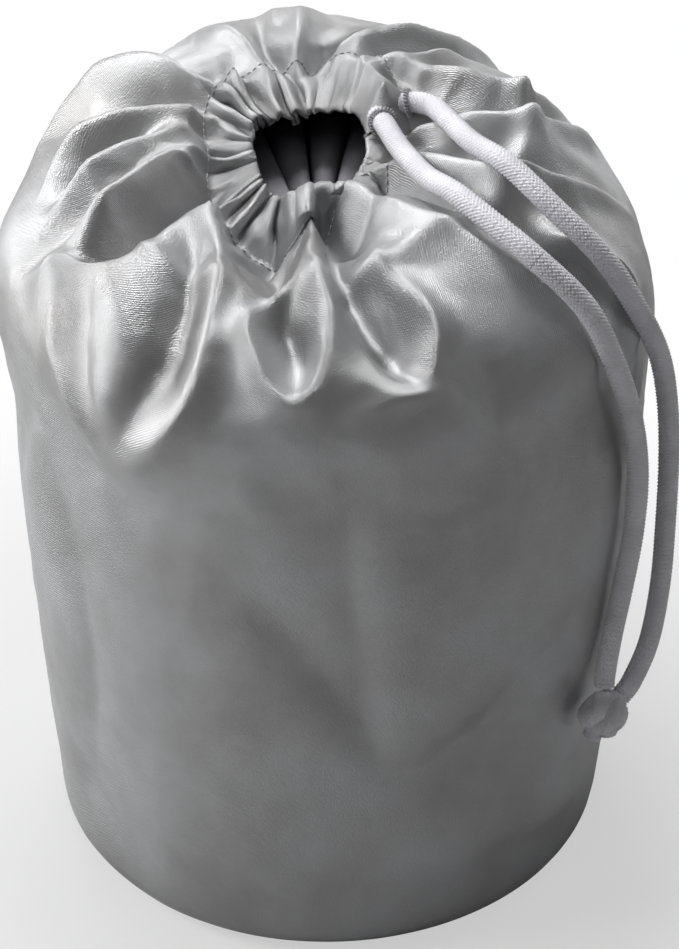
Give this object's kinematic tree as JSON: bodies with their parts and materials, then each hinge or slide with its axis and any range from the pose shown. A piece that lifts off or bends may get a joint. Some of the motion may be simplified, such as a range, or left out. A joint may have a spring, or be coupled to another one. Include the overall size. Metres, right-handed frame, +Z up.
{
  "type": "motorcycle cover packed in its drawstring bag",
  "caption": "Motorcycle cover folded and packed in its upright silver drawstring bag, with the knotted braided cord hanging down one side.",
  "frame": {"origin": "middle of the bag's base, on the surface it stands on", "axes": "+Z up, -Y towards the bag's front, +X towards the side where the cord hangs"},
  "size_m": [0.213, 0.2002, 0.2656],
  "materials": {
    "silver_cloth": "woven polyester with a soft metallic silver coating",
    "cover_cloth": "dull dark grey coated cloth, the inner side of the cover",
    "cord_braid": "white braided polyester cord"
  },
  "bodies": {
    "root": {"bag_shell": "silver_cloth", "packed_cover": "cover_cloth", "cord_front": "cord_braid", "cord_back": "cord_braid", "cord_knot": "cord_braid"}
  },
  "joints": []
}
